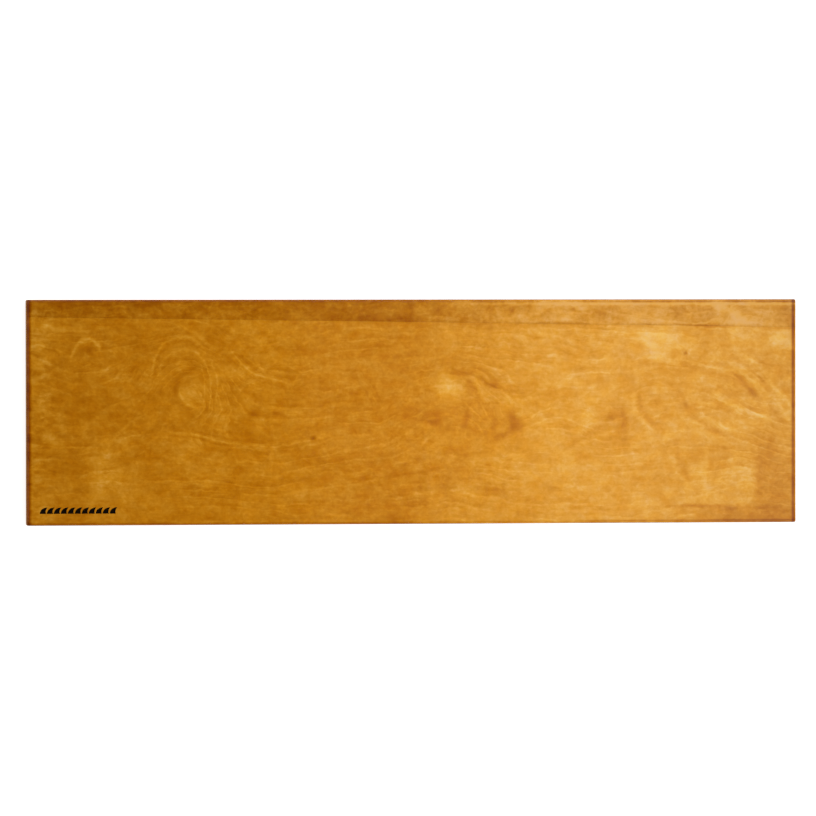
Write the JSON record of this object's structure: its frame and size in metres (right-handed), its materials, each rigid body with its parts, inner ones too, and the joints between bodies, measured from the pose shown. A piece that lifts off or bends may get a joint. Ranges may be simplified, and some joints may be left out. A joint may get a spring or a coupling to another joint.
{
  "type": "plywood board",
  "caption": "Flat rectangular board of varnished birch plywood with rounded-over edges and a narrow strip spliced into its face veneer.",
  "frame": {"origin": "centre of the underside, which is the bottom centre of the board's bounding box", "axes": "+X along the length, towards the end where the spliced strip is wide; +Y towards the long edge with the strip; +Z out of the varnished face"},
  "size_m": [0.915, 0.265, 0.018],
  "materials": {
    "face_main": "birch veneer under gloss honey varnish",
    "face_strip": "curly birch veneer under gloss honey varnish",
    "back": "plain birch veneer under satin varnish",
    "core": "varnished long-grain ply edge",
    "crossband": "varnished end-grain ply edge",
    "print": "black ink under varnish"
  },
  "bodies": {
    "root": {"face_veneer_main": "face_main", "face_veneer_strip": "face_strip", "crossband_veneer_02": "crossband", "core_veneer_03": "core", "crossband_veneer_04": "crossband", "core_veneer_05": "core", "crossband_veneer_06": "crossband", "core_veneer_07": "core", "crossband_veneer_08": "crossband", "core_veneer_09": "core", "crossband_veneer_10": "crossband", "core_veneer_11": "core", "crossband_veneer_12": "crossband", "back_veneer": "back"}
  },
  "joints": []
}
